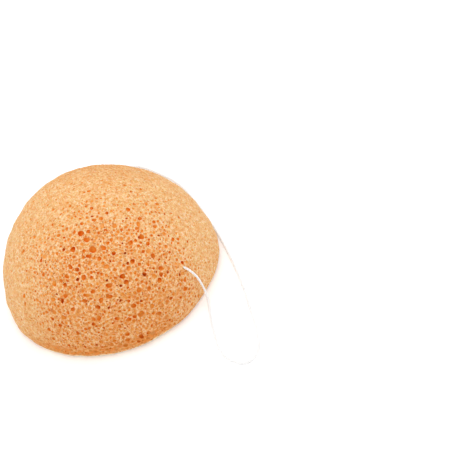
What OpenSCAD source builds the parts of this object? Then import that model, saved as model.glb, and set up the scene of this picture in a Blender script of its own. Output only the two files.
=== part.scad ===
// Konjac sponge: a half ball of soft plant foam with a cotton hanging cord threaded through it.
// The sponge lies on its flat face, dome up. The origin is the middle of that face, +Z is up,
// and the cord's tunnel crosses it level, turned a little from Y. The cord lies on the same
// surface as the sponge.

/* [Sponge] */
// Width of the round foam body
sponge_d = 75; // [60:0.5:95]
// Height of the dome over the flat face
sponge_h = 42; // [32:0.5:50]
// Rounding where the dome turns into the flat face
rim_r = 2.5; // [1:0.1:4]
// Exponent of the dome's outline, where 2 is an ellipse and less is more pointed
dome_power = 1.9; // [1.7:0.05:2.4]

/* [Cord tunnel] */
// Distance of the tunnel's middle from the middle of the sponge
tunnel_off = 11; // [8:0.5:13]
// Turn of the tunnel from Y, in degrees, which brings its front mouth out to the side
tunnel_turn = 25; // [20:1:30]
// Height of the tunnel over the flat face
tunnel_z = 16.5; // [10:0.5:18]
// Gap that the foam leaves around the cord
tunnel_clearance = 0.1; // [0.05:0.01:0.2]

/* [Cord] */
// Thickness of the twisted cotton cord
cord_d = 0.9; // [0.6:0.05:0.9]

/* [Knot] */
// Thickness of the knot over its wraps
knot_d = 3.6; // [3.4:0.1:4]
// Length of the knot between the faces that the cord runs into
knot_l = 3.6; // [3.3:0.1:4.2]
// Distance of the knot's middle from the middle of the sponge, across the tunnel
knot_x = 10; // [8:0.5:11]
// Distance of the knot's middle behind the middle of the sponge
knot_y = 50; // [49:0.5:51]

/* [Hidden] */

foam_colour = "#F2B97E";
cord_colour = "#F7F6F2";

overrun = 1;
round_fn = 96;

// The outline of the dome, from the rim to the top, has this many straight steps
dome_steps = 28;
rim_steps = 6;
sponge_r = sponge_d / 2;
dome_h = sponge_h - rim_r;
tunnel_d = cord_d + 2 * tunnel_clearance;

// Width of the dome at a height
function dome_lift(z) = pow((z - rim_r) / dome_h, dome_power / 2);
function dome_r(z) = sponge_r * pow(sqrt(1 - pow(dome_lift(z), 2)), 2 / dome_power);

// The tunnel's direction towards its front mouth, and where it comes out of the dome
tunnel_way = [sin(tunnel_turn), -cos(tunnel_turn), 0];
tunnel_middle = [tunnel_off * cos(tunnel_turn), tunnel_off * sin(tunnel_turn), tunnel_z];
half_tunnel = sqrt(pow(dome_r(tunnel_z), 2) - pow(tunnel_off, 2));
front_mouth = tunnel_middle + half_tunnel * tunnel_way;
back_mouth = tunnel_middle - half_tunnel * tunnel_way;

// The two strands of the knot lie side by side, a little apart
strand_gap_share = 0.2;
strand_y = cord_d * (1 + strand_gap_share) / 2;
knot_z = knot_d / 2;
knot_right = [knot_x + knot_l / 2, knot_y, knot_z];
knot_left = [knot_x - knot_l / 2, knot_y, knot_z];
strand_back = [0, strand_y, 0];
wraps = 3;
wrap_pitch = cord_d;

// A short straight run at each end of a cord, square to what it meets
lead = 0.8;

// The cord's route in front of the sponge, round the open loop and back behind the sponge.
// Its points lie on the surface that the sponge stands on, apart from the first and last few.
LOOP_POINTS = [
    [25.2, -27.1, 16.2], [25.9, -27.8, 15.3], [26.5, -27.9, 13.9], [27.0, -27.5, 11.8],
    [27.4, -26.9, 8.8], [27.7, -26.9, 5.2], [27.7, -28.0, 2.4], [27.3, -30.4, 0.8],
    [26.2, -38.0, 0.5], [25.6, -45.5, 0.5], [25.5, -51.7, 0.5], [26.6, -56.6, 0.5],
    [28.5, -59.8, 0.5], [30.7, -61.9, 0.5], [33.3, -62.4, 0.5], [35.9, -60.9, 0.5],
    [37.6, -58.4, 0.5], [38.6, -55.4, 0.5], [39.6, -47.2, 0.5], [39.9, -37.0, 0.5],
    [40.2, -27.0, 0.5], [39.9, -14.0, 0.5], [38.9, -1.0, 0.5], [37.3, 10.5, 0.5],
    [35.1, 22.5, 0.5], [31.8, 33.3, 0.5], [26.8, 42.2, 0.5], [21.8, 48.8, 0.5],
    [18.0, 51.0, 0.6], [14.8, 50.9, 1.2]
];

// The cord's route from the tunnel's back mouth down the dome, along the surface past the knot
// and round into it
RETURN_POINTS = [
    [-4.9, 36.5, 16.3], [-5.3, 37.8, 15.1], [-5.3, 38.3, 12.8], [-5.0, 38.5, 8.0],
    [-4.6, 38.7, 4.2], [-3.8, 39.6, 1.7], [-1.6, 40.9, 0.6], [3.0, 41.8, 0.5],
    [8.8, 42.5, 0.5], [13.6, 43.0, 0.5], [16.5, 44.3, 0.5], [17.5, 46.4, 0.5],
    [16.8, 48.4, 0.7], [14.8, 49.4, 1.3]
];

// The two cut ends of the cord beyond the knot
LONG_TAIL_POINTS = [[5.6, 50.9, 1.3], [3.9, 51.6, 0.6], [1.2, 52.5, 0.5], [-1.4, 52.6, 0.5]];
SHORT_TAIL_POINTS = [[5.6, 49.0, 1.3], [4.2, 47.9, 0.6], [2.8, 45.6, 0.5]];

loop_route = concat(
    [front_mouth, front_mouth + lead * tunnel_way],
    LOOP_POINTS,
    [knot_right + strand_back + [lead, 0, 0], knot_right + strand_back]);
return_route = concat(
    [back_mouth, back_mouth - lead * tunnel_way],
    RETURN_POINTS,
    [knot_right - strand_back + [lead, 0, 0], knot_right - strand_back]);
long_tail_route = concat(
    [knot_left + strand_back, knot_left + strand_back - [lead, 0, 0]], LONG_TAIL_POINTS);
short_tail_route = concat(
    [knot_left - strand_back, knot_left - strand_back - [lead, 0, 0]], SHORT_TAIL_POINTS);

// The cord's tube has this many sides, and its rings are about this many cord widths apart
tube_sides = 8;
ring_step_share = 5;

// A smooth curve between b and c, with a and d as their neighbours
function between(a, b, c, d, t) =
    (2 * b + (c - a) * t + (2 * a - 5 * b + 4 * c - d) * t * t
     + (3 * b - a - 3 * c + d) * t * t * t) / 2;
function steps_of(a, b) = max(1, round(norm(b - a) / (cord_d * ring_step_share)));
function smooth(route) =
    let (last = len(route) - 1)
    concat(
        [for (i = [0:last - 1])
            let (count = steps_of(route[i], route[i + 1]))
            for (k = [0:count - 1])
                between(route[max(i - 1, 0)], route[i], route[i + 1], route[min(i + 2, last)],
                        k / count)],
        [route[last]]);

// The direction of the line at each of its points, and a sideways direction carried along it
function unit(v) = v / norm(v);
function heading(line, i) = unit(line[min(i + 1, len(line) - 1)] - line[max(i - 1, 0)]);
function square_to(v, t) = unit(v - t * (v * t));
function sideways(line) =
    [for (i = 0, n = square_to([0, 0, 1], heading(line, 0));
          i < len(line);
          i = i + 1, n = i < len(line) ? square_to(n, heading(line, i)) : n) n];

// A round cord along a line of points
module tube(line) {
    side = sideways(line);
    points = [for (i = [0:len(line) - 1], k = [0:tube_sides - 1])
        let (t = heading(line, i), a = 360 * k / tube_sides)
        line[i] + cord_d / 2 * (side[i] * cos(a) + cross(t, side[i]) * sin(a))];
    walls = [for (i = [0:len(line) - 2], k = [0:tube_sides - 1])
        let (a = i * tube_sides + k, b = i * tube_sides + (k + 1) % tube_sides)
        each [[a, a + tube_sides, b], [b, a + tube_sides, b + tube_sides]]];
    first_end = [for (k = [0:tube_sides - 1]) k];
    last_end = [for (k = [tube_sides - 1:-1:0]) (len(line) - 1) * tube_sides + k];
    color(cord_colour)
        polyhedron(points, concat(walls, [first_end, last_end]));
}

// A cylinder along the tunnel
module along_tunnel(d, length) {
    translate(tunnel_middle)
        rotate([90, 0, tunnel_turn])
            cylinder(d = d, h = length, center = true, $fn = round_fn);
}

module sponge_body() {
    rim = [for (i = [0:rim_steps - 1])
        let (a = 90 * i / rim_steps)
        [sponge_r - rim_r + rim_r * sin(a), rim_r - rim_r * cos(a)]];
    dome = [for (i = [0:dome_steps])
        let (a = 90 * i / dome_steps)
        [sponge_r * pow(cos(a), 2 / dome_power), rim_r + dome_h * pow(sin(a), 2 / dome_power)]];
    color(foam_colour)
        difference() {
            rotate_extrude($fn = round_fn)
                polygon(concat([[0, 0]], rim, dome));
            along_tunnel(tunnel_d, sponge_d + 2 * overrun);
        }
}

// The stretch of cord that the foam holds
module cord_in_sponge() {
    color(cord_colour)
        along_tunnel(cord_d, 2 * half_tunnel);
}

// The two strands pass through the middle, and the wraps go round them
module cord_knot() {
    wrap_r = (knot_d - cord_d) / 2;
    color(cord_colour)
        translate([knot_x, knot_y, knot_z])
            rotate([0, 90, 0])
                rotate_extrude($fn = round_fn) {
                    translate([0, -knot_l / 2])
                        square([wrap_r, knot_l]);
                    for (i = [0:wraps - 1])
                        translate([wrap_r, wrap_pitch * (i - (wraps - 1) / 2)])
                            circle(d = cord_d, $fn = round_fn);
                }
}

sponge_body();
cord_in_sponge();
tube(smooth(loop_route));  // cord_loop
tube(smooth(return_route));  // cord_return
cord_knot();
tube(smooth(long_tail_route));  // cord_tail_long
tube(smooth(short_tail_route));  // cord_tail_short
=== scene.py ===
import math

import bpy
import numpy as np
from mathutils import Matrix, Vector
from mathutils.geometry import delaunay_2d_cdt


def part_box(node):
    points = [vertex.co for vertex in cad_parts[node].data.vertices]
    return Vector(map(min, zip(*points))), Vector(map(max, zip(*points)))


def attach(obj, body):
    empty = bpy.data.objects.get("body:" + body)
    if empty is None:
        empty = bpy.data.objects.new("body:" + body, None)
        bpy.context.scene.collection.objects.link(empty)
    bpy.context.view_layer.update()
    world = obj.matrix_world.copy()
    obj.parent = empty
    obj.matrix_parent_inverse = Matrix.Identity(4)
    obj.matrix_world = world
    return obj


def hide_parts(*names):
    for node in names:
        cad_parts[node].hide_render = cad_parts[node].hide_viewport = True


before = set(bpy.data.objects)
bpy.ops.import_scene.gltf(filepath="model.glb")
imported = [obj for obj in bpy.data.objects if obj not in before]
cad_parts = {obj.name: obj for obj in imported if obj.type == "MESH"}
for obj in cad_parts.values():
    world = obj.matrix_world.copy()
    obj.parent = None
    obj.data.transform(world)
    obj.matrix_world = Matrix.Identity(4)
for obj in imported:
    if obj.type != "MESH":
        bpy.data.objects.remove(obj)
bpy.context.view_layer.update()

# The sponge is worked out in millimetres, and its mesh is made in metres
MM = 0.001
TURN = 2 * math.pi
SEED = 4127
RELIEF_SEED = 72
BODY = "root"

# Camera: it looks along +Y, down at the sponge, and is turned in its own picture
PICTURE = 450
VIEW_ELEVATION = math.radians(42)
VIEW_ROLL = math.radians(21)
VIEW_DISTANCE = 1.1509
LENS_MM = 268.4
SENSOR_MM = 36
CLIP_RANGE = (0.01, 20)
FOCAL_PX = LENS_MM / SENSOR_MM * PICTURE
# Where the picture shows the middle of the flat face
ORIGIN_PX = (114.33, 277.97)
# Sight lines are followed to the foam over this range round VIEW_DISTANCE, in millimetres
SIGHT_RANGE = (-90, 60)
SIGHT_STEPS = 3000

# Light
AMBIENT = 0.91
KEY_POWER = 2.3
KEY_SIZE = 1.0
KEY_PLACE = (0.05, 0.15, 1.05)
FILL_POWER = 0.7
FILL_SIZE = 0.8
FILL_PLACE = (0.0, -0.95, 0.75)
FLOOR_COLOUR = (0.93, 0.93, 0.935, 1)
FLOOR_GLOW = 0.24
FLOOR_SIZE = 6.0
FLOOR_GAP = 0.0001

# Cord, in metres. The routes repeat the ones that the CAD tubes follow.
CORD_D = 0.0009
PLIES = 3
PLY_SIDES = 8
PLY_CENTRE_SHARE = 0.235
PLY_RADIUS_SHARE = 0.265
TWIST_PITCH = 0.0031
RING_STEP = 0.0002
CURVE_STEPS = 24
LEAD = 0.0008
# Slow and quick changes of the cord's thickness: share, length and lag
WAVERS = [(0.035, 0.0041, 1), (0.025, 0.0017, 2)]
# A cut end thins to a share over its last stretch, and loose fibres stand out of it
CUT_TAPER = 0.0004
TIP_SHARE = 0.35
FIBRES = 26
FIBRE_R = 0.00003
FIBRE_SIDES = 3
FIBRE_LENGTHS = (0.0006, 0.0017)
FIBRE_LEAN = 0.55
FIBRE_ROOT = 0.0004
FIBRE_SPREAD_SHARE = 0.28
FIBRE_LOWEST = 0.00006
# The knot's two straight strands, and the middle line of the strand that winds round them
STRAND_Y = 0.00054
KNOT_HALF = 0.0018
WRAPS = 3.0
WRAP_SPAN = 2.9
WRAP_R = 0.0009
WRAP_SWELL = 0.00044
WRAP_SWELL_SHARE = 0.07
WRAP_POINTS = 240
# The straight tunnel that holds the cord: how far it passes from the dome's axis, in metres,
# and its turn from Y
TUNNEL_OFF = 0.011
TUNNEL_TURN = math.radians(25)
LOOP_POINTS = [
    (0.0252, -0.0271, 0.0162), (0.0259, -0.0278, 0.0153), (0.0265, -0.0279, 0.0139),
    (0.0270, -0.0275, 0.0118), (0.0274, -0.0269, 0.0088), (0.0277, -0.0269, 0.0052),
    (0.0277, -0.0280, 0.0024), (0.0273, -0.0304, 0.0008), (0.0262, -0.0380, 0.0005),
    (0.0256, -0.0455, 0.0005), (0.0255, -0.0517, 0.0005), (0.0266, -0.0566, 0.0005),
    (0.0285, -0.0598, 0.0005), (0.0307, -0.0619, 0.0005), (0.0333, -0.0624, 0.0005),
    (0.0359, -0.0609, 0.0005), (0.0376, -0.0584, 0.0005), (0.0386, -0.0554, 0.0005),
    (0.0396, -0.0472, 0.0005), (0.0399, -0.0370, 0.0005), (0.0402, -0.0270, 0.0005),
    (0.0399, -0.0140, 0.0005), (0.0389, -0.0010, 0.0005), (0.0373, 0.0105, 0.0005),
    (0.0351, 0.0225, 0.0005), (0.0318, 0.0333, 0.0005), (0.0268, 0.0422, 0.0005),
    (0.0218, 0.0488, 0.0005), (0.0180, 0.0510, 0.0006), (0.0148, 0.0509, 0.0012),
]
RETURN_POINTS = [
    (-0.0049, 0.0365, 0.0163), (-0.0053, 0.0378, 0.0151), (-0.0053, 0.0383, 0.0128),
    (-0.0050, 0.0385, 0.0080), (-0.0046, 0.0387, 0.0042), (-0.0038, 0.0396, 0.0017),
    (-0.0016, 0.0409, 0.0006), (0.0030, 0.0418, 0.0005), (0.0088, 0.0425, 0.0005),
    (0.0136, 0.0430, 0.0005), (0.0165, 0.0443, 0.0005), (0.0175, 0.0464, 0.0005),
    (0.0168, 0.0484, 0.0007), (0.0148, 0.0494, 0.0013),
]
LONG_TAIL_POINTS = [
    (0.0056, 0.0509, 0.0013), (0.0039, 0.0516, 0.0006), (0.0012, 0.0525, 0.0005),
    (-0.0014, 0.0526, 0.0005),
]
SHORT_TAIL_POINTS = [
    (0.0056, 0.0490, 0.0013), (0.0042, 0.0479, 0.0006), (0.0028, 0.0456, 0.0005),
]

# Sponge outline, in millimetres. Its width and height come from the CAD body.
RIM_R = 2.5
DOME_POWER = 1.9
OUTLINE_STEPS = 240
RIM_STEPS = 40
EDGE_STEP = 0.7

# Soft unevenness of the hand-finished foam: compass direction and height over the flat face in
# degrees, then spread in degrees and height in millimetres
BULGES = [
    (-6, 4, 16, 0.65), (60, 50, 26, -0.65), (118, 50, 24, 0.2), (-150, 4, 30, -0.3),
    (-88, 3, 14, 0.4), (-42, 3, 12, -0.75), (174, 14, 12, -0.15), (-100, 45, 30, 0.25),
    (22, 22, 16, 0.1), (95, 12, 22, -0.35), (140, 30, 20, -0.15), (-64, 3, 10, 0.25),
]
RELIEF_SIZE = 1.3
RIPPLE_SIZE = 7
RIPPLE = 0.16
SKIN_RELIEF = 0.06
OPEN_RELIEF = 0.14
# Each wave is finer or coarser than its size by a factor in this range, and the sum of all
# waves is divided by its usual peak
WAVE_SPREAD = (0.6, 1.5)
WAVE_PEAK = 1.4
# The foam stands up round each mouth of the tunnel, where the cord pulls at it
MOUTH_RISE = 0.8
MOUTH_SPREAD = 1.8

# Mottling, cells and fibres that only the materials show, in metres
CLOUD_SIZE = 0.0012
SPECK_SIZE = 0.00055
PATCH_SIZE = 0.0035
HUE_SIZE = 0.0008
HUE_SHIFT = (0.31, 0.17, 0.53)
FINE_CELL = 0.0009
FINEST_CELL = 0.00055
DEEP_CELL = 0.00095
FIBRE_SIZE = 0.00012
SLUB_SIZE = 0.003
# How high the material's bumps stand, and how far light goes in, in metres
FOAM_BUMP = 0.00012
COTTON_BUMP = 0.00005
FOAM_GLOW_DEPTH = 0.0008
COTTON_GLOW_DEPTH = 0.0004
# How much paler the foam is in a ring round its open part
PALE_RING = 0.6
# Streaks of painted shade along the lip, and the heights between which its line of painted light,
# bounced from the floor, ends
STREAK_SIZE = 0.003
STREAK_STRETCH = (1, 1, 6)
BOUNCE_LINE_ENDS = (0.0015, 0.0023)


def view_axes():
    """The camera's own right, up and back directions."""
    cos_roll = math.cos(VIEW_ROLL)
    sin_roll = math.sin(VIEW_ROLL)
    side = Vector((1, 0, 0))
    rise = Vector((0, math.sin(VIEW_ELEVATION), math.cos(VIEW_ELEVATION)))
    right = cos_roll * side - sin_roll * rise
    up = sin_roll * side + cos_roll * rise
    return right, up, right.cross(up)


def eye_point():
    """Where the camera stands, so that the flat face's middle is seen at ORIGIN_PX."""
    right, up, back = view_axes()
    off_right = (ORIGIN_PX[0] - PICTURE / 2) / FOCAL_PX * VIEW_DISTANCE
    off_up = (PICTURE / 2 - ORIGIN_PX[1]) / FOCAL_PX * VIEW_DISTANCE
    return back * VIEW_DISTANCE - right * off_right - up * off_up


def make_camera():
    right, up, back = view_axes()
    turn = Matrix((right, up, back)).transposed()
    data = bpy.data.cameras.new("camera")
    data.lens = LENS_MM
    data.sensor_width = SENSOR_MM
    data.clip_start, data.clip_end = CLIP_RANGE
    camera = add_object("camera", data)
    camera.matrix_world = Matrix.Translation(eye_point()) @ turn.to_4x4()
    bpy.context.scene.camera = camera


def add_object(name, data):
    thing = bpy.data.objects.new(name, data)
    bpy.context.scene.collection.objects.link(thing)
    return thing


def new_piece(name, vertices, faces, material):
    """A mesh object with smooth faces that rides on the part's one body."""
    mesh = bpy.data.meshes.new(name)
    mesh.from_pydata([tuple(v) for v in vertices], [], [tuple(f) for f in faces])
    mesh.validate()
    mesh.polygons.foreach_set("use_smooth", [True] * len(mesh.polygons))
    mesh.materials.append(material)
    piece = add_object(name, mesh)
    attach(piece, BODY)
    return piece


def set_values(piece, **layers):
    """Gives a piece's points values that its material reads."""
    for name, values in layers.items():
        layer = piece.data.attributes.new(name, "FLOAT", "POINT")
        layer.data.foreach_set("value", values)


class Nodes:
    """Short calls for a material's or the world's node tree."""

    def __init__(self, owner):
        owner.use_nodes = True
        self.tree = owner.node_tree
        self.tree.nodes.clear()

    def add(self, kind, settings=None, **inputs):
        node = self.tree.nodes.new(kind)
        for name, value in (settings or {}).items():
            setattr(node, name, value)
        for name, value in inputs.items():
            self.feed(node.inputs[name.replace("_", " ")], value)
        return node

    def feed(self, socket, value):
        if isinstance(value, bpy.types.NodeSocket):
            self.tree.links.new(value, socket)
        else:
            socket.default_value = rgb(value) if isinstance(value, str) else value

    def math(self, operation, a, b=0.0, clamp=False):
        node = self.add("ShaderNodeMath", {"operation": operation, "use_clamp": clamp})
        self.feed(node.inputs[0], a)
        self.feed(node.inputs[1], b)
        return node.outputs[0]

    def times(self, a, b):
        return self.math("MULTIPLY", a, b)

    def remap(self, value, low, high, to_low=0.0, to_high=1.0):
        node = self.add("ShaderNodeMapRange", {"interpolation_type": "SMOOTHSTEP"}, Value=value,
                        From_Min=low, From_Max=high, To_Min=to_low, To_Max=to_high)
        return node.outputs["Result"]

    def mix(self, factor, a, b, blend="MIX"):
        node = self.add("ShaderNodeMix", {"data_type": "RGBA", "blend_type": blend},
                        Factor=factor, A=a, B=b)
        return node.outputs["Result"]

    def layers(self, colour, *tones):
        """A colour with more tones laid over it, each in its own share."""
        for share, tone in tones:
            colour = self.mix(share, colour, tone)
        return colour

    def noise(self, where, size, detail=2.0, roughness=0.5):
        node = self.add("ShaderNodeTexNoise", Vector=where, Scale=1 / size, Detail=detail,
                        Roughness=roughness)
        return node.outputs["Fac"]

    def cells(self, where, size, output="Distance", feature="F1"):
        node = self.add("ShaderNodeTexVoronoi", {"feature": feature}, Vector=where,
                        Scale=1 / size)
        return node.outputs[output]

    def cell_tint(self, where, size, channel):
        tint = self.add("ShaderNodeSeparateColor", Color=self.cells(where, size, "Color"))
        return tint.outputs[channel]

    def attribute(self, name):
        return self.add("ShaderNodeAttribute", {"attribute_name": name}).outputs["Fac"]

    def ramp(self, value, stops):
        node = self.add("ShaderNodeValToRGB", Fac=value)
        points = node.color_ramp.elements
        while len(points) < len(stops):
            points.new(1.0)
        for point, (place, colour) in zip(points, stops):
            point.position = place
            point.color = rgb(colour)
        return node.outputs["Color"]

    def surface(self, **inputs):
        shader = self.add("ShaderNodeBsdfPrincipled", **inputs)
        self.add("ShaderNodeOutputMaterial", Surface=shader.outputs["BSDF"])


def rgb(code):
    """A colour code such as #F2B97E as the linear light that Blender works in."""
    parts = [int(code[i:i + 2], 16) / 255 for i in (1, 3, 5)]
    return (*[p / 12.92 if p <= 0.04045 else ((p + 0.055) / 1.055) ** 2.4 for p in parts], 1.0)


def foam_material():
    """Pale walls mottled with fine cells, and pores that go from orange to red-brown with painted
    shade; painted shade on the lip and crown, and painted light under the lip.
    """
    material = bpy.data.materials.new("konjac_foam")
    n = Nodes(material)
    where = n.add("ShaderNodeTexCoord").outputs["Object"]
    pore = n.attribute("pore")
    coarse = n.attribute("coarse")
    warm = n.attribute("warm")

    cloud = n.noise(where, CLOUD_SIZE, 2.0, 0.55)
    speck = n.noise(where, SPECK_SIZE, 2.0, 0.6)
    patch = n.noise(where, PATCH_SIZE, 2.0, 0.55)
    aside = n.add("ShaderNodeMapping", Vector=where, Location=HUE_SHIFT).outputs["Vector"]
    hue = n.noise(aside, HUE_SIZE, 1.0, 0.5)
    grain = n.math("ADD", n.times(cloud, 0.4), n.times(speck, 0.6))

    # Pale threads of foam, darker hollows between them, and the skin's milder version
    skin = n.ramp(grain, [(0.36, "#D8914C"), (0.46, "#EEB476"), (0.54, "#F7CD93"),
                          (0.64, "#F9DFBD")])
    open_foam = n.ramp(grain, [(0.37, "#D07838"), (0.46, "#EBA868"), (0.54, "#F8CC94"),
                               (0.62, "#FBE0BE")])
    openness = n.remap(coarse, 0.25, 1.0)
    ground = n.mix(openness, skin, open_foam)
    ring = n.times(openness, n.math("SUBTRACT", 1.0, openness))
    ground = n.layers(ground, (n.remap(hue, 0.5, 0.72, 0.0, 0.35), "#F8B992"),
                      (n.remap(hue, 0.28, 0.5, 0.35, 0.0), "#E9C57E"),
                      (n.remap(patch, 0.45, 0.75, 0.0, 0.45), "#EBA157"),
                      (n.times(ring, PALE_RING), "#FFDDAE"))

    # Cells of the foam too small to be holes in the mesh
    mottle = 0.0
    for size, share in ((FINE_CELL, 0.7), (FINEST_CELL, 0.5)):
        tint = n.cell_tint(where, size, "Red")
        to_edge = n.cells(where, size, feature="DISTANCE_TO_EDGE")
        cell = n.times(n.remap(to_edge, 0.03, 0.22), n.remap(tint, 0.45, 1.0))
        mottle = n.math("ADD", mottle, n.times(cell, share), clamp=True)
    strength = n.remap(openness, 0.0, 1.0, 0.28, 0.44)
    # Single dark specks of painted shade in the mouths of cells that lie deeper
    deep_cell_shade = n.times(n.remap(n.cell_tint(where, DEEP_CELL, "Green"), 0.48, 0.68),
                   n.remap(n.cells(where, DEEP_CELL), 0.12, 0.3, 1.0, 0.0))
    ground = n.layers(ground, (n.times(mottle, strength), "#ED8E3C"),
                      (n.times(deep_cell_shade, n.remap(openness, 0.0, 1.0, 0.25, 0.85)), "#A04C10"))
    # Painted shade: darker and warmer along the lip, where it faces down, and on the crown; warmer
    # up the front
    ground = n.mix(warm, ground, "#EBCCA8", "MULTIPLY")

    # Streaks of painted shade along the lip, darker orange where it faces down, pale streaks, and a
    # line of painted light bounced from the floor where the lip turns under
    lip = n.remap(warm, 0.5, 0.85)
    flat = n.add("ShaderNodeMapping", Vector=where, Scale=STREAK_STRETCH).outputs["Vector"]
    streak = n.noise(flat, STREAK_SIZE, 2.0, 0.5)
    low = n.add("ShaderNodeSeparateXYZ", Vector=where).outputs["Z"]
    # Painted light bounced from the floor, on the line where the lip turns under
    floor_bounce_line = n.times(n.remap(streak, 0.35, 0.55, 0.5, 1.0), n.remap(low, *BOUNCE_LINE_ENDS, 1.0, 0.0))
    ground = n.layers(ground, (n.times(lip, n.remap(streak, 0.38, 0.55, 0.75, 0.15)), "#E88A3C"),
                      (n.times(lip, n.remap(streak, 0.52, 0.66, 0.0, 0.4)), "#F8C888"),
                      (n.times(lip, floor_bounce_line), "#FFE3B4"))

    # Inside the pores: the foam's orange, with painted shade that darkens it to red-brown towards
    # the floors of deeper pores
    inside = n.ramp(n.times(pore, 0.5), [
        (0.0, "#F6BD7C"), (0.12, "#F7AF5F"), (0.25, "#F69F42"), (0.42, "#F08424"),
        (0.55, "#E4660E"), (0.72, "#C04A08"), (0.92, "#962E08"),
    ])
    inside = n.mix(n.remap(speck, 0.35, 0.65, 0.2, 0.0), inside, "#C85E12")
    # The same painted shade and warmth in the pores
    inside = n.mix(warm, inside, "#E6ECFF", "MULTIPLY")
    colour = n.mix(n.remap(pore, 0.02, 0.3), ground, inside)

    height = n.math("ADD", n.times(mottle, -0.8), grain)
    bump = n.add("ShaderNodeBump", Strength=0.6, Distance=FOAM_BUMP, Height=height)
    rough = n.remap(grain, 0.3, 0.7, 0.72, 0.95)
    n.surface(Base_Color=colour, Roughness=rough, Normal=bump.outputs["Normal"],
              Specular_IOR_Level=0.12, Subsurface_Weight=0.12,
              Subsurface_Radius=(1.0, 0.45, 0.2), Subsurface_Scale=FOAM_GLOW_DEPTH)
    return material


def cotton_material():
    """Matte white cotton, with painted shade a little darker in the grooves between its plies."""
    material = bpy.data.materials.new("cotton_cord")
    n = Nodes(material)
    where = n.add("ShaderNodeTexCoord").outputs["Object"]
    groove = n.attribute("groove")
    fibre = n.noise(where, FIBRE_SIZE, 3.0, 0.65)
    slub = n.noise(where, SLUB_SIZE, 1.0, 0.5)
    # Painted shade in the grooves between the plies; fibres and slubs vary the tone at random
    colour = n.layers("#FFFFFE", (n.remap(groove, 0.3, 1.0), "#FAF9F6"),
                      (n.times(n.remap(fibre, 0.35, 0.65), 0.2), "#FAF8F5"),
                      (n.times(n.remap(slub, 0.4, 0.7), 0.12), "#FAF6EC"))
    height = n.math("ADD", n.times(fibre, 0.7), n.times(groove, -0.3))
    bump = n.add("ShaderNodeBump", Strength=0.5, Distance=COTTON_BUMP, Height=height)
    rough = n.remap(fibre, 0.3, 0.7, 0.75, 0.95)
    n.surface(Base_Color=colour, Roughness=rough, Normal=bump.outputs["Normal"],
              Specular_IOR_Level=0.2, Sheen_Weight=0.25, Sheen_Roughness=0.5,
              Subsurface_Weight=0.5, Subsurface_Radius=(1.0, 1.0, 1.0),
              Subsurface_Scale=COTTON_GLOW_DEPTH)
    return material


def smooth_route(route, step):
    """The smooth curve through a route's points, as the CAD tubes follow it, at even steps."""
    p = np.array(route, float)
    before = np.vstack([p[:1], p[:-2]])
    after = np.vstack([p[2:], p[-1:]])
    line = []
    for a, b, c, d in zip(before, p[:-1], p[1:], after):
        for t in np.linspace(0, 1, CURVE_STEPS, endpoint=False):
            line.append((2 * b + (c - a) * t + (2 * a - 5 * b + 4 * c - d) * t ** 2
                         + (3 * b - a - 3 * c + d) * t ** 3) / 2)
    line = np.array(line + [p[-1]])
    return evenly(line, step)


def run_along(line):
    return np.concatenate([[0], np.cumsum(np.linalg.norm(np.diff(line, axis=0), axis=1))])


def evenly(line, step):
    """The same line with its points a step apart."""
    run = run_along(line)
    count = max(2, round(run[-1] / step))
    marks = np.linspace(0, run[-1], count + 1)
    return np.column_stack([np.interp(marks, run, values) for values in line.T])


def carried_sides(line):
    """Each point's heading, and a sideways direction carried along the line without twist."""
    heading = unit(np.gradient(line, axis=0))
    side = np.array([0.0, 0.0, 1.0])
    if abs(heading[0][2]) > 0.9:
        side = np.array([0.0, 1.0, 0.0])
    sides = []
    for t in heading:
        side = side - t * side.dot(t)
        side /= np.linalg.norm(side)
        sides.append(side)
    sides = np.array(sides)
    return heading, sides, np.cross(heading, sides)


def turns_of(count):
    """Angles that go once round in even steps."""
    return np.arange(count) * TURN / count


def ply_outline():
    """Radius and groove depth round a cord of twisted plies, as shares of its diameter."""
    angle = turns_of(PLIES * PLY_SIDES)
    off = (angle + math.pi / PLIES) % (TURN / PLIES) - math.pi / PLIES
    centre = PLY_CENTRE_SHARE
    radius = centre * np.cos(off) + np.sqrt(PLY_RADIUS_SHARE ** 2 - (centre * np.sin(off)) ** 2)
    groove = 1 - (radius - radius.min()) / (radius.max() - radius.min())
    return angle, radius, groove


def twisted_tube(line, start=0.0, taper=0.0):
    """Vertices, faces and groove depths of a twisted cord along a line of close points."""
    angle, radius, groove = ply_outline()
    _, side, across = carried_sides(line)
    run = run_along(line)
    turn = start + run / TWIST_PITCH * TURN
    waver = 1
    for share, length, lag in WAVERS:
        waver = waver + share * np.sin(run / length + lag * start)
    waver = waver / waver.max()
    if taper:
        waver = waver * np.clip((run[-1] - run) / taper, TIP_SHARE, 1)
    spin = angle + turn[:, None]
    reach = radius * CORD_D * waver[:, None]
    ring = (side[:, None, :] * (np.cos(spin) * reach)[:, :, None]
            + across[:, None, :] * (np.sin(spin) * reach)[:, :, None])
    vertices = (line[:, None, :] + ring).reshape(-1, 3)
    return vertices, tube_faces(len(line), len(angle)), np.tile(groove, len(line)), turn[-1]


def tube_faces(rings, sides):
    """The faces of a closed tube whose points go round it ring after ring."""
    faces = []
    for i in range(rings - 1):
        for k in range(sides):
            a = i * sides + k
            b = i * sides + (k + 1) % sides
            faces.append((a, b, b + sides, a + sides))
    faces.append(tuple(range(sides - 1, -1, -1)))
    faces.append(tuple((rings - 1) * sides + k for k in range(sides)))
    return faces


def joined(parts):
    """Several (vertices, faces, values) groups as one."""
    vertices, faces, values, base = [], [], [], 0
    for part in parts:
        vertices.append(part[0])
        faces += [tuple(base + i for i in face) for face in part[1]]
        values.append(part[2])
        base += len(part[0])
    return np.vstack(vertices), faces, np.concatenate(values)


def cord_piece(name, parts, material):
    vertices, faces, groove = joined(parts)
    piece = new_piece(name, vertices, faces, material)
    set_values(piece, groove=groove)
    return piece


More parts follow.
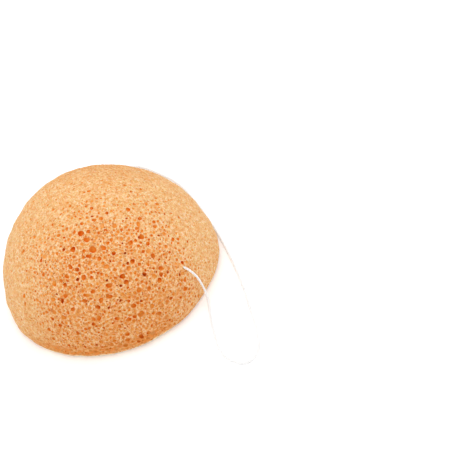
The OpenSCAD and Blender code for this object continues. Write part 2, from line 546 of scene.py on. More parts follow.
def frayed_end(line, rng):
    """Loose fibres at a cut end of the cord."""
    heading, side, across = carried_sides(line)
    end, ahead, side, across = line[-1], heading[-1], side[-1], across[-1]
    parts = []
    for _ in range(FIBRES):
        angle = rng.uniform(0, TURN)
        out = rng.uniform(0.0, FIBRE_LEAN)
        length = rng.uniform(*FIBRE_LENGTHS)
        away = side * math.cos(angle) + across * math.sin(angle)
        aside = away * CORD_D * FIBRE_SPREAD_SHARE * math.sqrt(rng.uniform(0.05, 1))
        t = np.linspace(0, 1, 6)[:, None]
        curve = end - ahead * FIBRE_ROOT + aside + ahead * length * t + away * length * out * t ** 2
        curve[:, 2] = np.maximum(curve[:, 2], FIBRE_LOWEST)
        parts.append(thin_fibre(curve))
    return parts


def thin_fibre(curve):
    """A three-sided thread that thins towards its tip."""
    _, side, across = carried_sides(curve)
    thin = FIBRE_R * np.linspace(1, TIP_SHARE, len(curve))
    angle = turns_of(FIBRE_SIDES)
    ring = (side[:, None] * np.cos(angle)[:, None]
            + across[:, None] * np.sin(angle)[:, None]) * thin[:, None, None]
    vertices = (curve[:, None] + ring).reshape(-1, 3)
    return vertices, tube_faces(len(curve), FIBRE_SIDES), np.zeros(len(vertices))


def knot_wrap(middle):
    """The strand that winds round the knot's two straight strands."""
    t = np.linspace(0, 1, WRAP_POINTS)
    angle = t * WRAPS * TURN
    swell = np.minimum(1, np.minimum(t, 1 - t) / WRAP_SWELL_SHARE)
    radius = WRAP_R + WRAP_SWELL * np.sin(swell * math.pi / 2)
    along = (0.5 - t) * WRAP_SPAN * CORD_D
    off = np.column_stack([along, radius * np.sin(angle), radius * np.cos(angle)])
    return evenly(middle + off, RING_STEP)


def tunnel_ends():
    """Where the tunnel that holds the cord starts and ends, and its direction at the front."""
    low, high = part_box("cord_in_sponge")
    side = np.array([math.cos(TUNNEL_TURN), math.sin(TUNNEL_TURN), 0])
    way = np.array([math.sin(TUNNEL_TURN), -math.cos(TUNNEL_TURN), 0])
    middle = TUNNEL_OFF * side + np.array([0, 0, (low.z + high.z) / 2])
    reach = (high.y - low.y - CORD_D * way[0]) / 2 / -way[1]
    return middle + reach * way, middle - reach * way, way


def make_cord(material):
    """Every stretch of the cord, its knot and its cut ends. They meet where the CAD tubes do."""
    rng = np.random.default_rng(SEED)
    front, back, way = tunnel_ends()
    low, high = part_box("cord_knot")
    knot = np.array(((low + high) / 2)[:])
    right = knot + np.array([KNOT_HALF, 0, 0])
    left = knot - np.array([KNOT_HALF, 0, 0])
    strand = np.array([0, STRAND_Y, 0])
    lead = np.array([LEAD, 0, 0])

    held_line = evenly(np.array([back, front]), RING_STEP)
    *held, turn = twisted_tube(held_line)
    in_sponge = cord_piece("held_cord", [held], material)
    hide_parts("cord_in_sponge")

    stretches, through, turns = [], [], []
    for name, node, mouth, out, points, offset, first in (
            ("loop_cord", "cord_loop", front, way, LOOP_POINTS, strand, turn),
            ("return_cord", "cord_return", back, -way, RETURN_POINTS, -strand, 0.0)):
        line = smooth_route([mouth, mouth + LEAD * out, *points, right + offset + lead,
                             right + offset], RING_STEP)
        *part, last = twisted_tube(line, first)
        piece = cord_piece(name, [part], material)
        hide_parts(node)
        stretches.append((piece, line))
        line = evenly(np.array([right + offset, left + offset]), RING_STEP)
        *part, last = twisted_tube(line, last)
        through.append(part)
        turns.append(last)
    *wrap, _ = twisted_tube(knot_wrap(knot))
    knot_piece = cord_piece("tied_knot", [*through, wrap], material)
    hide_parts("cord_knot")

    for name, node, points, offset, first in (
            ("long_cut_end", "cord_tail_long", LONG_TAIL_POINTS, strand, turns[0]),
            ("short_cut_end", "cord_tail_short", SHORT_TAIL_POINTS, -strand, turns[1])):
        line = smooth_route([left + offset, left + offset - lead] + points, RING_STEP)
        *part, _ = twisted_tube(line, first, taper=CUT_TAPER)
        tail = cord_piece(name, [part, *frayed_end(line, rng)], material)
        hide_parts(node)

    return front / MM, back / MM, way


def level_ways(turn):
    """The flat directions at some angles."""
    return np.stack([np.cos(turn), np.sin(turn)], axis=1)


def unit(vectors):
    return vectors / np.linalg.norm(vectors, axis=1)[:, None]


class Outline:
    """The foam's outline from the top of the dome to the edge of the flat face, and a flat map
    of the dome. The map keeps angles, so a round pore is round on it too."""

    def __init__(self, radius, height):
        self.radius = radius
        self.height = height
        lift = height - RIM_R
        a = np.linspace(math.pi / 2, 0, OUTLINE_STEPS)
        r = radius * np.cos(a) ** (2 / DOME_POWER)
        z = RIM_R + lift * np.sin(a) ** (2 / DOME_POWER)
        r[0] = 0
        b = np.linspace(math.pi / 2, 0, RIM_STEPS)[1:]
        self.r = np.concatenate([r, radius - RIM_R + RIM_R * np.sin(b)])
        self.z = np.concatenate([z, RIM_R - RIM_R * np.cos(b)])
        step = np.hypot(np.diff(self.r), np.diff(self.z))
        self.s = np.concatenate([[0], np.cumsum(step)])
        dr = np.gradient(self.r, self.s)
        dz = np.gradient(self.z, self.s)
        size = np.hypot(dr, dz)
        self.out_r = -dz / size
        self.out_z = dr / size
        middle_r = (self.r[1:] + self.r[:-1]) / 2
        grow = step / middle_r
        grow[0] = 0
        log_rho = math.log(self.s[1]) + np.cumsum(grow)
        self.rho = np.concatenate([[0], np.exp(log_rho)])
        self.rho *= self.s[-1] / self.rho[-1]
        self.scale = self.rho[1:] / self.r[1:]
        self.scale = np.concatenate([[self.scale[0]], self.scale])
        area = np.concatenate([[0], np.cumsum(middle_r * step)])
        self.area_share = area / area[-1]
        self.edge_r = self.r[-1]
        self.edge_rho = self.rho[-1]

    def place(self, spots):
        """Places and outward directions of map spots on the plain outline."""
        spots = np.atleast_2d(spots)
        rho = np.hypot(spots[:, 0], spots[:, 1])
        turn = np.arctan2(spots[:, 1], spots[:, 0])
        r, z, out_r, out_z = [np.interp(rho, self.rho, v)
                              for v in (self.r, self.z, self.out_r, self.out_z)]
        size = np.hypot(out_r, out_z)
        around = level_ways(turn)
        outward = np.column_stack([around * (out_r / size)[:, None], out_z / size])
        return np.column_stack([around * r[:, None], z]), outward

    def spot(self, place):
        """The map spot of a place on the outline."""
        r = math.hypot(place[0], place[1])
        nearest = np.argmin((self.r - r) ** 2 + (self.z - place[2]) ** 2)
        turn = math.atan2(place[1], place[0])
        return np.array([math.cos(turn), math.sin(turn)]) * self.rho[nearest]

    def spot_along(self, place, way):
        """The map spot where a level line through a place comes out of the dome."""
        aside = place - (place @ way) * way
        ahead = math.sqrt(float(self.width_at(place[2])) ** 2 - aside[0] ** 2 - aside[1] ** 2)
        return self.spot(aside + ahead * way)

    def scale_at(self, spot):
        return float(np.interp(math.hypot(*spot), self.rho, self.scale))

    def width_at(self, z):
        return np.interp(-np.asarray(z, float), -self.z, self.r)

    def seen_at(self, picture_spot):
        """The map spot of the foam that the camera sees at a pixel of the picture."""
        right, up, back = [np.array(v) for v in view_axes()]
        ahead = (right * (picture_spot[0] - PICTURE / 2)
                 + up * (PICTURE / 2 - picture_spot[1])) / FOCAL_PX - back
        start = np.array(eye_point()) / MM
        t = VIEW_DISTANCE / MM + np.linspace(*SIGHT_RANGE, SIGHT_STEPS)
        ray = start + ahead * t[:, None]
        inside = ((ray[:, 2] > 0) & (ray[:, 2] < self.height)
                  & (np.hypot(ray[:, 0], ray[:, 1]) < self.width_at(ray[:, 2])))
        return self.spot(ray[np.argmax(inside)]) if inside.any() else None


def direction(compass, height):
    """The unit direction from the flat face's middle, from two angles in degrees."""
    a, h = math.radians(compass), math.radians(height)
    return np.array([math.cos(h) * math.cos(a), math.cos(h) * math.sin(a), math.sin(h)])


def angle_from(places, compass, height):
    """How far places lie from a direction, in degrees, seen from the flat face's middle."""
    cosine = unit(places) @ direction(compass, height)
    return np.degrees(np.arccos(np.clip(cosine, -1, 1)))


def smoothstep(value, low, high):
    t = np.clip((value - low) / (high - low), 0, 1)
    return t * t * (3 - 2 * t)


class Waves:
    """Smooth unevenness made of waves in many directions, from about -1 to 1."""

    def __init__(self, size, rng, count=28):
        ways = unit(rng.normal(size=(count, 3)))
        self.ways = ways * (TURN / size) * rng.uniform(*WAVE_SPREAD, (count, 1))
        self.starts = rng.uniform(0, TURN, count)

    def at(self, places):
        heights = np.sin(places @ self.ways.T + self.starts).sum(axis=1)
        return heights / math.sqrt(len(self.starts)) / WAVE_PEAK


# Parts of the dome with open, coarse cells, and parts with a warmer colour, painted shade on the
# lip and crown: the compass direction and height of the middle, and how far from there the part
# is full and ends, in degrees
OPEN_FRONT = (-92, 30, 30, 62)
OPEN_BACK = (70, 35, 8, 42)
SHADED_LIP = (-108, 5, 26, 62)
WARM_FRONT = (-102, 5, 30, 70)
SHADED_CROWN = (60, 50, 15, 40)
BACK_SHARE = 0.6
FRONT_SHARE = 0.42
CROWN_SHADE_SHARE = 0.3
# The lip has few open cells: their share there, and the heights between which they come in
LIP_SHARE = 0.3
LIP_OPENS = (1.0, 4.5)
# Heights between which the painted shade of the lip and the warm colour of the front end
LIP_SHADE_HEIGHTS = (3, 9)
FRONT_WARMTH = (5, 42)
LEAST_WARM_HEIGHT = 0.5
WARM_EDGE = 1.5
# The open part's edge wanders by some degrees, in waves of this size in millimetres
WANDER = 5
WANDER_SIZE = 22


def near(places, compass, lift, full, end, wander=0):
    """1 near a direction from the flat face's middle, and 0 past an angle from it."""
    return 1 - smoothstep(angle_from(places, compass, lift) + wander, full, end)


def coarseness(places, waves):
    """How open the foam's cells are at places on the dome, from 0 to 1."""
    wander = waves.at(places) * WANDER
    back = BACK_SHARE * near(places, *OPEN_BACK, wander)
    open_share = LIP_SHARE + (1 - LIP_SHARE) * smoothstep(places[:, 2], *LIP_OPENS)
    return np.maximum(near(places, *OPEN_FRONT, wander), back) * open_share


def warmth(plain, edge_r):
    """How much warmer and darker the foam's colour is: painted shade along the lip, where it faces
    down, and on the crown, and a warmer colour up the front.
    """
    height = plain[:, 2]
    raised = np.maximum(plain, [-np.inf, -np.inf, LEAST_WARM_HEIGHT])
    lip = (1 - smoothstep(height, *LIP_SHADE_HEIGHTS)) * near(raised, *SHADED_LIP)
    front = (1 - smoothstep(height, *FRONT_WARMTH)) * near(raised, *WARM_FRONT)
    # Painted shade: the crown is darker
    crown = CROWN_SHADE_SHARE * near(plain, *SHADED_CROWN)
    inward = edge_r - np.hypot(plain[:, 0], plain[:, 1])
    on_face = 1 - smoothstep(inward, 0, WARM_EDGE)
    warm = np.maximum(np.maximum(lip, FRONT_SHARE * front), crown)
    return warm * np.where(height > 0, 1, on_face)


def bulge(places):
    """Height of the soft unevenness at places on the dome."""
    height = np.zeros(len(places))
    for compass, lift, spread, rise in BULGES:
        height += rise * np.exp(-(angle_from(places, compass, lift) / spread) ** 2)
    return height


# The pores that stand out in the picture: where it shows their middles, their radius in
# millimetres, how much longer than wide they are, their long side's angle in the picture,
# and how dark they are inside
SEEN_PORES = [
    (80.8, 233.4, 1.05, 1.1, 0, 0.95), (86.6, 239.7, 1.0, 1.35, -15, 0.85),
    (73.2, 249.7, 0.95, 1.1, 60, 1.05), (92.8, 249.7, 1.25, 1.15, -30, 0.85),
    (89.0, 256.6, 0.85, 1.9, 0, 0.95), (84.2, 251.1, 0.65, 1.1, 90, 0.9),
    (94.2, 220.0, 0.7, 1.5, 0, 0.85), (106.7, 213.2, 0.6, 1.0, 0, 1.05),
    (91.6, 208.3, 0.58, 1.1, 0, 1.05), (128.2, 210.0, 0.8, 1.1, 0, 0.85),
    (139.9, 218.6, 0.72, 1.2, 20, 0.9), (141.4, 237.1, 1.0, 1.3, 0, 1.15),
    (136.4, 237.6, 0.42, 1.5, 0, 0.95), (137.3, 228.7, 0.68, 1.6, 0, 0.8),
    (105.7, 230.1, 0.55, 1.8, -10, 1.0), (121.5, 230.1, 0.55, 1.2, 70, 0.95),
    (88.0, 231.5, 0.65, 1.2, 30, 0.95), (74.6, 232.3, 0.6, 1.5, 80, 0.75),
    (66.7, 228.7, 0.6, 1.2, 60, 0.7), (58.8, 235.2, 0.65, 1.3, 20, 0.85),
    (23.4, 251.6, 0.85, 1.6, 55, 0.8), (41.4, 260.9, 0.62, 1.5, 80, 0.95),
    (43.5, 274.1, 0.75, 1.3, 70, 0.9), (70.3, 266.9, 0.85, 1.4, -55, 1.1),
    (77.0, 269.8, 0.75, 1.1, 0, 1.2), (83.7, 277.5, 0.9, 1.15, 80, 0.95),
    (65.1, 285.3, 0.75, 1.2, 70, 1.05), (62.3, 301.2, 0.8, 1.5, 85, 1.2),
    (65.5, 295.6, 0.85, 1.3, 20, 0.75), (84.7, 301.0, 0.85, 1.4, 0, 0.95),
    (86.4, 295.4, 0.85, 2.0, 0, 0.8), (109.0, 296.4, 1.0, 1.7, -5, 0.85),
    (109.1, 285.6, 1.0, 1.4, 0, 0.85), (107.1, 280.5, 0.45, 1.2, 20, 1.8),
    (122.6, 276.3, 0.95, 1.15, 0, 1.15), (126.4, 282.2, 0.85, 1.0, 0, 1.0),
    (144.6, 274.5, 0.72, 1.3, -20, 1.65), (121.0, 286.0, 0.5, 1.4, 10, 1.7),
    (113.8, 253.5, 0.7, 1.1, 0, 1.2), (124.8, 253.0, 0.45, 1.0, 0, 1.75),
    (132.4, 261.2, 0.85, 1.1, 45, 1.05), (153.1, 255.7, 0.85, 1.05, 60, 1.0),
    (148.1, 243.8, 0.72, 1.1, 70, 1.0), (161.0, 268.2, 0.9, 1.4, -15, 0.9),
    (161.4, 274.7, 0.8, 1.0, 0, 0.95), (182.0, 262.5, 0.65, 1.3, -25, 1.05),
    (167.6, 272.0, 0.48, 1.0, 0, 1.4), (172.7, 239.4, 0.72, 1.2, 40, 0.85),
    (154.7, 226.4, 0.7, 1.5, 10, 0.8), (99.4, 259.0, 0.75, 1.2, 80, 0.85),
    (97.8, 307.2, 0.8, 1.6, -15, 1.15), (73.0, 309.7, 0.8, 1.2, 60, 0.85),
    (68.0, 312.6, 0.7, 1.5, 85, 0.85), (46.4, 312.2, 0.6, 1.1, 60, 0.95),
    (60.1, 325.6, 0.7, 1.2, 40, 0.95), (48.9, 329.8, 0.75, 1.2, 0, 0.85),
    (99.1, 318.4, 0.9, 1.5, 85, 0.85), (93.7, 324.0, 0.7, 1.1, 0, 1.1),
    (117.4, 318.6, 0.8, 1.5, 0, 0.95), (133.6, 305.9, 0.9, 1.2, 20, 0.9),
    (141.2, 313.6, 1.15, 1.2, 40, 0.75), (159.3, 313.8, 0.85, 1.4, 0, 0.85),
    (148.9, 288.5, 0.8, 1.3, 60, 0.8), (170.9, 298.5, 0.7, 1.5, 20, 0.95),
    (128.6, 319.2, 0.85, 1.3, 20, 0.85), (127.6, 339.6, 0.8, 1.3, 20, 0.8),
    (148.1, 332.0, 0.7, 1.1, 20, 0.9), (141.5, 301.0, 0.5, 1.1, 0, 1.35),
    (24.0, 296.0, 0.8, 1.4, 70, 0.65), (24.6, 304.0, 0.7, 2.2, 95, 0.6),
    (120.6, 300.2, 0.5, 1.4, 80, 1.3), (139.6, 264.4, 0.6, 1.1, 0, 0.95),
    (88.9, 191.3, 0.62, 1.3, 0, 0.85), (83.9, 192.2, 0.46, 1.2, 0, 0.9),
    (124.8, 184.7, 0.6, 1.5, 0, 0.75), (130.9, 191.7, 0.55, 1.2, 0, 0.75),
    (86.1, 206.3, 0.5, 1.2, 0, 0.85), (53.3, 210.0, 0.55, 1.3, 0, 0.8),
    (101.1, 218.9, 0.7, 1.2, 0, 0.7), (82.2, 224.1, 0.62, 1.2, 0, 0.85),
    (52.8, 224.7, 0.42, 1.8, 80, 0.95), (92.2, 216.3, 0.42, 1.6, 0, 1.35),
    (126.7, 218.3, 0.42, 1.6, 0, 1.3), (105.0, 193.9, 0.42, 1.6, -50, 0.85),
    (101.1, 198.3, 0.42, 1.5, 20, 0.9), (134.2, 203.9, 0.5, 1.1, 0, 0.75),
    (146.3, 203.8, 0.6, 1.5, 90, 0.75), (155.6, 198.1, 0.52, 1.5, 0, 0.75),
    (151.9, 212.5, 0.45, 1.1, 0, 0.95), (171.3, 213.1, 0.45, 1.5, 0, 0.9),
    (164.6, 214.0, 0.4, 1.1, 0, 1.35), (178.5, 217.5, 0.55, 1.3, 30, 0.7),
    (154.4, 221.9, 0.6, 1.3, 0, 0.75), (158.1, 235.3, 0.42, 1.6, -15, 1.4),
    (187.5, 241.5, 0.45, 1.1, 0, 1.1), (178.1, 238.8, 0.55, 1.2, 0, 0.8),
    (151.3, 235.6, 0.5, 1.2, 0, 0.95), (143.1, 251.3, 0.62, 1.2, 0, 0.9),
    (160.0, 243.8, 0.55, 1.2, 0, 0.8), (183.8, 248.8, 0.4, 1.1, 0, 1.1),
    (47.6, 205.0, 0.4, 1.4, 20, 0.7), (63.1, 226.5, 0.47, 1.3, 0, 0.75),
    (48.1, 238.6, 0.45, 1.3, 40, 1.0), (64.1, 237.7, 0.45, 1.4, -20, 1.1),
]

# How many points the rings of such a pore have, and of one with a radius under SMALL_SEEN
SEEN_COUNTS = (16, 14, 8)
SMALL_SEEN_COUNTS = (10, 7, 0)
SMALL_SEEN = 0.5
SEEN_WALL = 0.05
# How far along its long side a second pixel is taken, to find that side's direction on the map
TIP_PX = 3

# Kinds of pore that fill the rest of the dome: smallest and largest radius in millimetres, how
# many places are tried, ring point counts, and the share of tries kept on the skin
PORE_KINDS = [
    (0.6, 0.95, 480, (14, 9, 6), 0.03),
    (0.34, 0.64, 18000, (9, 6, 0), 0.11),
    (0.17, 0.32, 10500, (6, 5, 0), 0.4),
]
# The same for the flat face, which has one kind of foam all over
BASE_KINDS = [
    (0.6, 0.95, 260, (12, 8, 0)),
    (0.35, 0.6, 900, (8, 6, 0)),
    (0.2, 0.34, 1100, (6, 0, 0)),
]
# More than 1 makes the open part's pores thin out sooner towards its edge
THINNING = 1.3
# Pores get smaller by up to this share towards the skin, and keep off the dome's edge
SKIN_SHRINK = 0.25
EDGE_CLEAR = 0.35
EDGE_CLEAR_SHARE = 1.5
LONGEST = 1.55

# A pore's rim, wall and floor: how far out each lies on the map and in the foam, as shares of
# the radius, its share of the depth, its share of the darkness, which is painted shade on the
# foam's orange, and its turn in radians
PORE_RINGS = [
    (1.0, 1.0, 0.0, 0.0, 0.0), (0.8, 0.92, 0.42, 0.95, 0.2), (0.46, 0.62, 0.92, 0.85, 0.4),
]
# Its lobes, each with the least and most that it adds as a share of the radius
LOBES = [(3, 0.02, 0.13), (4, 0.0, 0.07), (5, 0.0, 0.05)]
FLOOR_TILT = 0.18
DEPTH_SHARES = (0.85, 1.25)
PALE_DEPTH = 0.45
DARK_DEPTH = 0.5
# Painted shade: each pore is darker on one side by up to this share
SHADE = 0.35
# Random angles are drawn from about a full turn, and long sides from half of it, in radians
DRAWN_TURN = 6.3
DRAWN_HALF_TURN = 3.2

# How dark pores are inside, painted shade on the foam's orange: up to which share of them, and
# the least and greatest darkness
TONES = [(0.35, 0.3, 0.5), (0.86, 0.5, 0.9), (0.985, 0.95, 1.2), (1.0, 1.25, 1.6)]
# A pore starting under this radius is tiny, and past this share of the draws it is dark
TINY = 0.2
TINY_DARK_FROM = 0.7
TINY_TONES = (1.0, 1.6)
# This share of the pores under a darkness keeps it on the skin, where others are paler
FULL_BELOW = 0.95
FULL_SHARE = 0.25
SKIN_DARKNESS = 0.5
# The middle of a pore up to a darkness is paler than its wall
DARK_FLOOR = 1.2
PALE_FLOOR_SHARE = 0.76

# Walls between pores, and the points that fill them, in millimetres
WALL = 0.12
BASE_WALL_SHARE = 1.6
GROUND_STEP = 0.78
GROUND_MARGIN = 0.24
GROUND_REACH = 0.99
ROW_SHARE = 0.87
ROW_TURN = 2.4
ROW_JITTER = 0.15
AROUND_JITTER = 0.2
EDGE_MARGIN = 0.5
BASE_STEP_SHARE = 1.5
BASE_ROW_SHARE = 0.9
BASE_EDGE = 1.6
BASE_MARGIN = 0.45
BASE_SMALLER = 1.8
BASE_LONGEST = 1.5
BASE_TONES = (0.5, 1.1)

# The tunnel's mouths: radius, depth and darkness of the rings round each; the darkness, and the
# near black of the tunnel's walls, are painted shade
MOUTH_RINGS = [(0.85, 0.0, 0.0), (0.5, 0.1, 0.35)]
MOUTH_CLEAR = 1.35
MOUTH_GROUND = 1.05
MOUTH_SIDES = 12
TUNNEL_SHADE = 1.3
TUNNEL_RINGS = (0.04, 0.5, 0.96)
# Heights over which the unevenness and the pores' depth come in above the flat face
RIM_FADE = 0.8
RIM_DEPTH_SHARE = 0.3
# The dome's points stay above the first height, and those under the second are the flat face's
LEAST_HEIGHT = 0.02
FACE_TOP = 0.01
# Points of the map closer than this are one
MERGE_GAP = 1e-7


class Pore:
    """One open cell: an uneven round hole in the foam's surface."""

    def __init__(self, spot, place, radius, scale, stretch, long_way, dark, rng):
        self.spot = np.array(spot, float)
        self.place = np.array(place, float)
        self.radius = radius
        self.scale = scale
        self.dark = dark
        pull = (stretch - 1) / (stretch + 1)
        self.waves = [(2, pull, long_way)]
        self.waves += [(lobes, rng.uniform(low, high), rng.uniform(0, DRAWN_TURN))
                       for lobes, low, high in LOBES]
        self.tilt = rng.normal(0, FLOOR_TILT, 2)
        self.depth = radius * rng.uniform(*DEPTH_SHARES) * min(1.0, PALE_DEPTH + DARK_DEPTH * dark)
        self.start = rng.uniform(0, DRAWN_TURN)
        self.shade_way = rng.uniform(0, DRAWN_TURN)
        self.floor_share = PALE_FLOOR_SHARE if dark < DARK_FLOOR else 1.0
        self.far = radius * (1 + sum(abs(w[1]) for w in self.waves))

    def reach(self, angle):
        return self.radius * (1 + sum(h * np.cos(k * (angle - a)) for k, h, a in self.waves))


class Grid:
    """Finds the pores near a place."""

    def __init__(self, cell=2.6):
        self.cell = cell
        self.boxes = {}

    def key(self, place):
        return tuple(int(math.floor(v / self.cell)) for v in place)

    def near(self, place):
        x, y, z = self.key(place)
        for i in (x - 1, x, x + 1):
            for j in (y - 1, y, y + 1):
                for k in (z - 1, z, z + 1):
                    yield from self.boxes.get((i, j, k), ())

    def is_clear(self, spot, place, margin, pore=None):
        """Whether a point, or the rim of a pore there, keeps off the pores found so far."""
        for other in self.near(place):
            gap = math.dist(place, other.place)
            if gap > (pore.far if pore else 0) + other.far + margin:
                continue
            way = spot - other.spot
            angle = math.atan2(way[1], way[0])
            reach = other.reach(angle) + (pore.reach(angle + math.pi) if pore else 0)
            if gap < reach + margin:
                return False
        return True

    def takes(self, pore, wall):
        """Adds a pore if there is room for it and a wall round it."""
        clear = self.is_clear(pore.spot, pore.place, wall, pore)
        if clear:
            self.boxes.setdefault(self.key(pore.place), []).append(pore)
        return clear


class Sheet:
    """Points of a flat map with what the foam's mesh needs to know of each."""

    def __init__(self):
        self.spots = []
        self.shape_spots = []
        self.depths = []
        self.tones = []
        self.edges = []
        self.count = 0

    def add(self, spots, shape_spots=None, depths=0.0, tones=0.0):
        """Points at map spots, whose foam may lie at other spots and deeper."""
        first = self.count
        spots = np.atleast_2d(spots)
        self.spots.append(spots)
        self.shape_spots.append(spots if shape_spots is None else np.atleast_2d(shape_spots))
        self.depths.append(np.broadcast_to(depths, len(spots)))
        self.tones.append(np.broadcast_to(tones, len(spots)))
        self.count += len(spots)
        return first

    def ring(self, spots, *values):
        first = self.add(spots, *values)
        count = len(spots)
        self.edges += [(first + k, first + (k + 1) % count) for k in range(count)]
        return first

    def add_pore(self, pore, counts):
        """A sharp rim, a wall that widens a little under it, and an uneven floor."""
        for count, (share, shape_share, depth, tone, turn) in zip(counts, PORE_RINGS):
            if not count:
                break
            angle = pore.start + turn + turns_of(count)
            way = level_ways(angle)
            reach = (pore.reach(angle) * pore.scale)[:, None]
            lean = 1 + way @ pore.tilt
            # Painted shade, darker on one side of the pore
            shade = 1 + SHADE * np.cos(angle - pore.shade_way)
            self.ring(pore.spot + way * reach * share, pore.spot + way * reach * shape_share,
                      pore.depth * depth * lean, tone * pore.dark * shade)
        middle_share = pore.floor_share if counts[1] else 1.0
        self.add(pore.spot, pore.spot, pore.depth, pore.dark * middle_share)


def fill_with_pores(outline, waves, rng, mouths):
    """The dome's pores with the ring counts of each, the largest first."""
    grid = Grid()
    found = []
    for x, y, radius, stretch, picture_angle, dark in SEEN_PORES:
        spot = outline.seen_at((x, y))
        if spot is None:
            continue
        place = outline.place(spot)[0][0]
        turn = math.radians(picture_angle)
        tip = outline.seen_at((x + TIP_PX * math.cos(turn), y - TIP_PX * math.sin(turn)))
        long_way = math.atan2(*(tip - spot)[::-1]) if tip is not None else 0.0
        pore = Pore(spot, place, radius, outline.scale_at(spot), stretch, long_way, dark, rng)
        if away_from(place, mouths) and grid.takes(pore, SEEN_WALL):
            found.append((pore, SMALL_SEEN_COUNTS if radius < SMALL_SEEN else SEEN_COUNTS))
    for small, large, tries, counts, skin_share in PORE_KINDS:
        rank = rng.uniform(0, 1, tries)
        turn = rng.uniform(0, TURN, tries)
        rho = np.interp(rank, outline.area_share, outline.rho)
        spots = level_ways(turn) * rho[:, None]
        places, _ = outline.place(spots)
        coarse = coarseness(places, waves)
        kept = rng.uniform(0, 1, tries) < skin_share + (1 - skin_share) * coarse ** THINNING
        sizes = small + (large - small) * rng.uniform(0, 1, tries)
        sizes *= 1 - SKIN_SHRINK * (1 - coarse)
        for i in np.nonzero(kept)[0]:
            scale = outline.scale_at(spots[i])
            if outline.edge_rho - rho[i] < (sizes[i] * EDGE_CLEAR_SHARE + EDGE_CLEAR) * scale:
                continue
            if not away_from(places[i], mouths):
                continue
            dark = pore_darkness(coarse[i], small < TINY, rng)
            pore = Pore(spots[i], places[i], sizes[i], scale, rng.uniform(1.0, LONGEST),
                        rng.uniform(0, DRAWN_HALF_TURN), dark, rng)
            if grid.takes(pore, WALL):
                found.append((pore, counts))
    return grid, found


def pore_darkness(open_share, is_tiny, rng):
    """Most pores are pale and shallow, some deep orange, and a few nearly black, their darkness
    painted shade on the foam's orange. The smallest are dark more often."""
    draw = rng.uniform()
    tones = next(tones for share, *tones in TONES if draw < share)
    if is_tiny and draw > TINY_DARK_FROM:
        tones = TINY_TONES
    dark = rng.uniform(*tones)
    if dark < FULL_BELOW and rng.uniform() < FULL_SHARE:
        return dark
    return dark * (SKIN_DARKNESS + (1 - SKIN_DARKNESS) * open_share)


def away_from(place, mouths, least=MOUTH_CLEAR):
    return all(math.dist(place, mouth) > least for mouth in mouths)


def ground_points(outline, grid, mouths, rng):
    """Points of the walls between the pores, about evenly spread over the dome."""
    spots = []
    length = outline.s[-1]
    rows = int(length / (GROUND_STEP * ROW_SHARE))
    for row in range(1, rows):
        s = (row + rng.uniform(-ROW_JITTER, ROW_JITTER)) * length / rows
        r = float(np.interp(s, outline.s, outline.r))
        rho = float(np.interp(s, outline.s, outline.rho))
        count = max(4, round(TURN * r / GROUND_STEP))
        shift = rng.uniform(-AROUND_JITTER, AROUND_JITTER, count)
        turn = (np.arange(count) + shift) * TURN / count + row * ROW_TURN
        shift = rng.uniform(-ROW_JITTER, ROW_JITTER, count)
        rho = rho * (1 + shift * GROUND_STEP / max(r, 1))
        if length - s < EDGE_MARGIN:
            continue
        rho = np.minimum(rho, outline.edge_rho * GROUND_REACH)
        spots.append(level_ways(turn) * rho[:, None])
    spots = np.vstack([np.zeros((1, 2))] + spots)
    places, _ = outline.place(spots)
    kept = [spot for spot, place in zip(spots, places)
            if grid.is_clear(spot, place, GROUND_MARGIN) and away_from(place, mouths, MOUTH_GROUND)]
    return np.array(kept)


def meshed(sheet):
    """Map spots, depths and tones of a sheet's points, and its triangles. The pores' rings are
    kept as edges, and where two of them cross, the point that joins them is on the surface."""
    spots = np.vstack(sheet.spots)
    corners, _, faces, sources, _, _ = delaunay_2d_cdt(
        [Vector(spot) for spot in spots], sheet.edges, [], 0, MERGE_GAP, True)
    crossings = [corner[:] for corner, source in zip(corners, sources) if not source]
    shape = np.vstack([*sheet.shape_spots, np.array(crossings).reshape(-1, 2)])
    depth = np.concatenate([*sheet.depths, np.zeros(len(crossings))])
    tone = np.concatenate([*sheet.tones, np.zeros(len(crossings))])
    order = []
    fresh = len(spots)
    for source in sources:
        order.append(source[0] if source else fresh)
        fresh += not source
    return shape, depth, tone, [tuple(order[i] for i in face) for face in faces]


